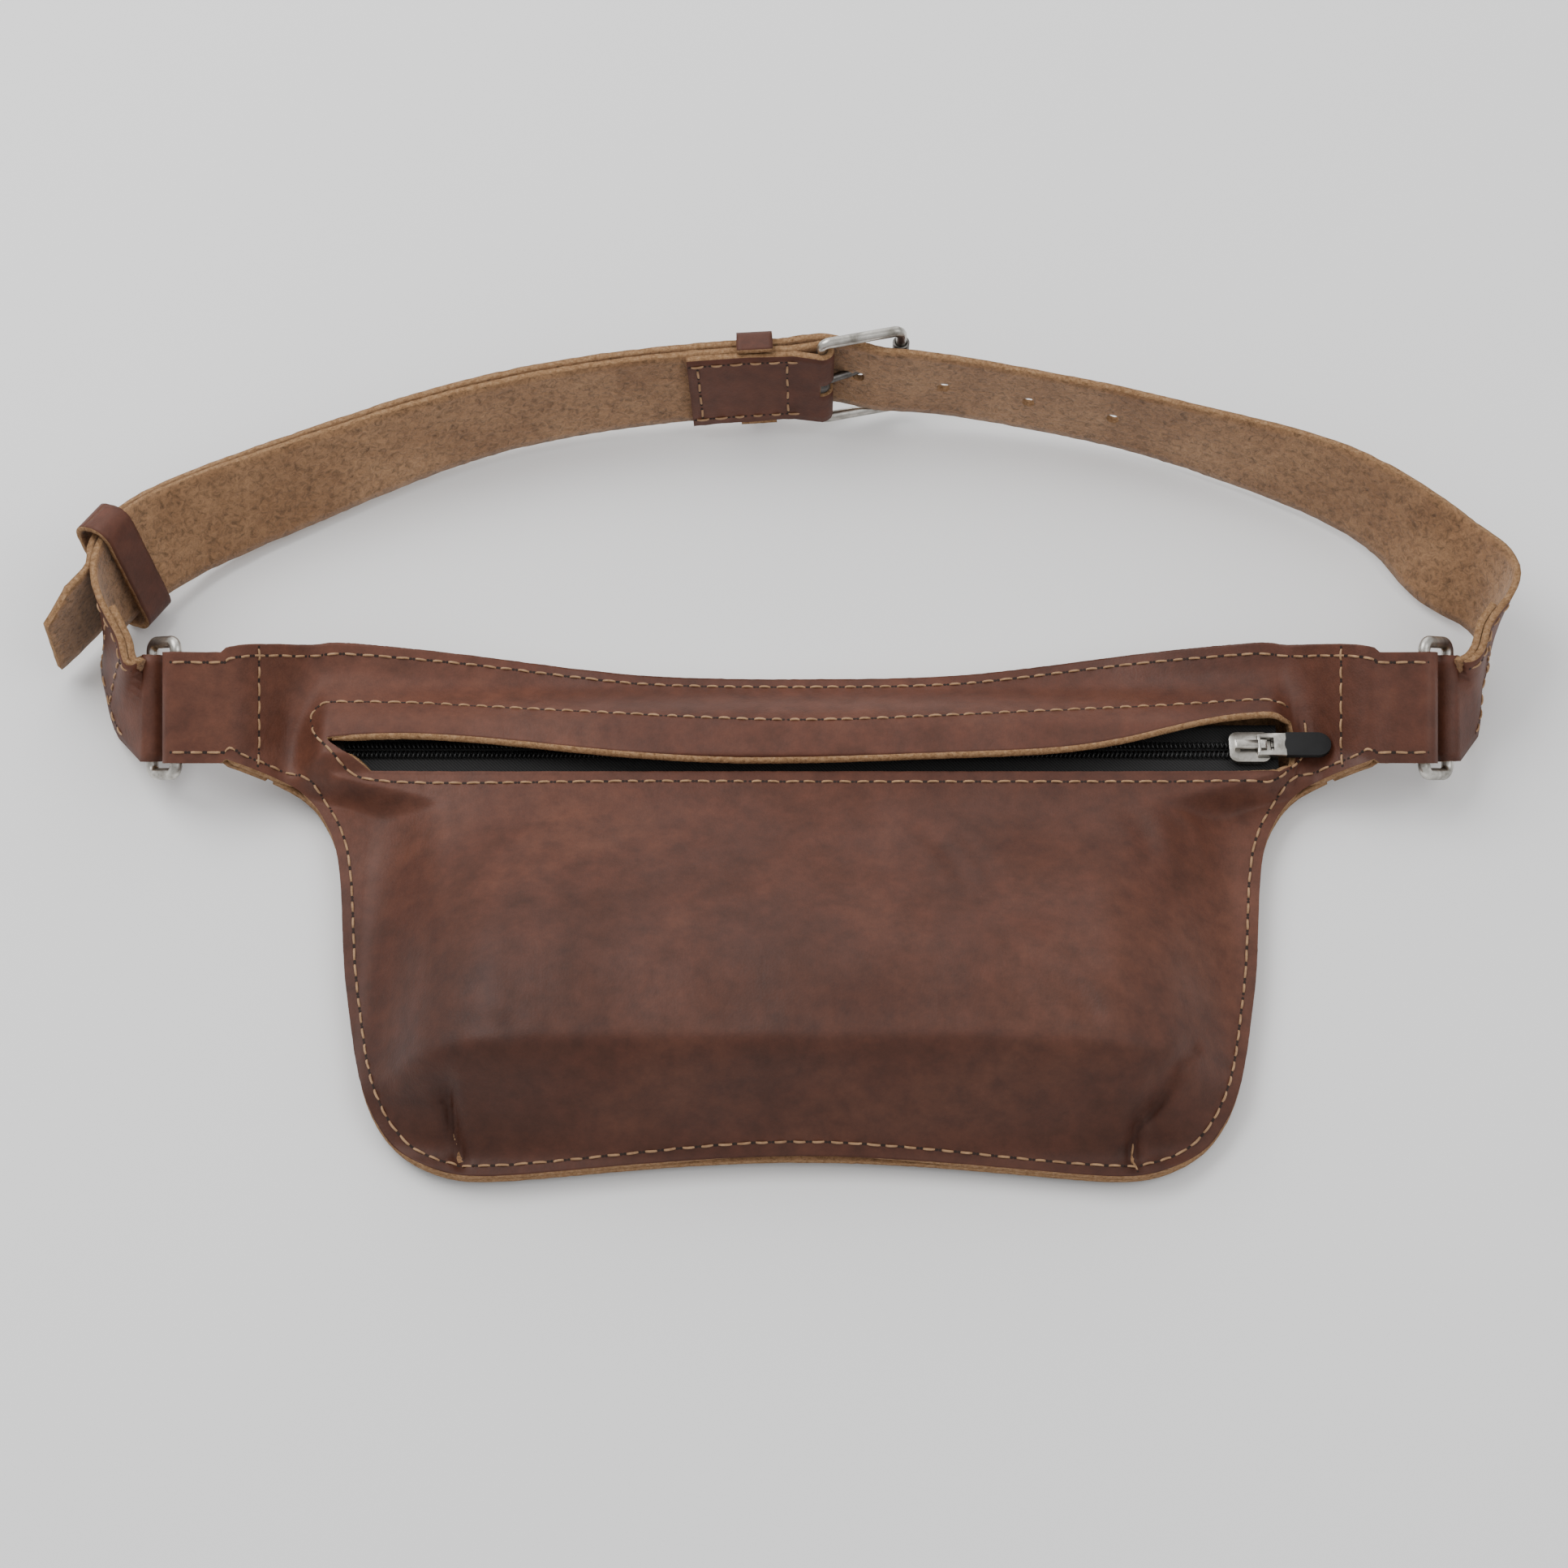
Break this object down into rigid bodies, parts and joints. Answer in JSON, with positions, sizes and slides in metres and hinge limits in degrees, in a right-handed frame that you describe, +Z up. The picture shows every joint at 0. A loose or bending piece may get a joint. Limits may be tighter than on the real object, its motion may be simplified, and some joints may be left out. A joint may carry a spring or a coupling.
{
  "type": "waist pack",
  "caption": "Leather waist pack with a curved zipped pouch, folded wings on rectangular rings and a buckled belt with loop keepers.",
  "frame": {"origin": "centre of the back panel's resting face", "axes": "+X along the pack to its right, +Y from the pack's lower edge towards the belt, +Z up out of the front panel"},
  "size_m": [0.4182, 0.2597, 0.0419],
  "materials": {
    "leather": "waxed pull-up leather, matt",
    "thread": "waxed tan thread",
    "tape": "black woven tape",
    "coil": "black nylon",
    "rubber": "black moulded rubber",
    "nickel": "worn nickel plate",
    "dark_nickel": "dark worn nickel"
  },
  "bodies": {
    "bag": {"front_panel": "leather", "back_panel": "leather", "zip_tape_upper": "tape", "zip_tape_lower": "tape", "zip_coil_upper": "coil", "zip_coil_lower": "coil", "zip_top_stops": "nickel", "zip_bottom_stop": "nickel"},
    "slider": {"zip_slider": "nickel"},
    "puller": {"zip_pull_plate": "nickel", "zip_pull_tab": "rubber"},
    "ring_left": {"ring_left": "nickel"},
    "ring_right": {"ring_right": "nickel"},
    "belt": {"buckle_strap": "leather", "hole_strap": "leather", "fixed_keeper": "leather", "ring_thread_left": "thread", "ring_thread_right": "thread", "buckle_thread": "thread"},
    "sliding_keeper": {"sliding_keeper": "leather"},
    "buckle": {"buckle_frame": "nickel"},
    "roller": {"buckle_roller": "dark_nickel"},
    "prong": {"buckle_prong": "dark_nickel"}
  },
  "joints": [
    {"name": "zip", "type": "slide", "parent": "bag", "child": "slider", "axis": [-1, 0, 0], "range_m": [0, 0.236]},
    {"name": "puller_swing", "type": "hinge", "parent": "slider", "child": "puller", "pos_m": [0.1289, 0.046, 0.0133], "axis": [0, -1, 0], "range_deg": [0, 150]},
    {"name": "ring_left_swing", "type": "hinge", "parent": "bag", "child": "ring_left", "pos_m": [-0.17422, 0.0523, 0.023], "axis": [0, -0.866, -0.5], "range_deg": [-10, 10]},
    {"name": "ring_right_swing", "type": "hinge", "parent": "bag", "child": "ring_right", "pos_m": [0.17422, 0.0523, 0.023], "axis": [0, -0.866, -0.5], "range_deg": [-10.5, 10.5]},
    {"name": "belt_swing", "type": "hinge", "parent": "ring_left", "child": "belt", "pos_m": [-0.18242, 0.05682, 0.01518], "axis": [0, -0.866, -0.5], "range_deg": [-10, 10]},
    {"name": "buckle_lift", "type": "hinge", "parent": "belt", "child": "buckle", "pos_m": [0.0065, 0.16746, 0.0194], "axis": [0.003, 0.0126, 0.9999], "range_deg": [0, 2]},
    {"name": "roller_spin", "type": "hinge", "parent": "buckle", "child": "roller", "pos_m": [0.02992, 0.17268, 0.01926], "axis": [0.003, 0.0126, 0.9999], "continuous": true},
    {"name": "prong_lift", "type": "hinge", "parent": "buckle", "child": "prong", "pos_m": [0.0065, 0.16746, 0.0194], "axis": [0.003, 0.0126, 0.9999], "range_deg": [0, 1.5]},
    {"name": "keeper_slide", "type": "slide", "parent": "belt", "child": "sliding_keeper", "axis": [0.5179, 0.8477, -0.115], "range_m": [-0.0012, 0.0012]}
  ],
  "couplings": [
    {"joint": "ring_right_swing", "follows": "ring_left_swing", "ratio": 1},
    {"joint": "belt_swing", "follows": "ring_left_swing", "ratio": -0.955}
  ]
}
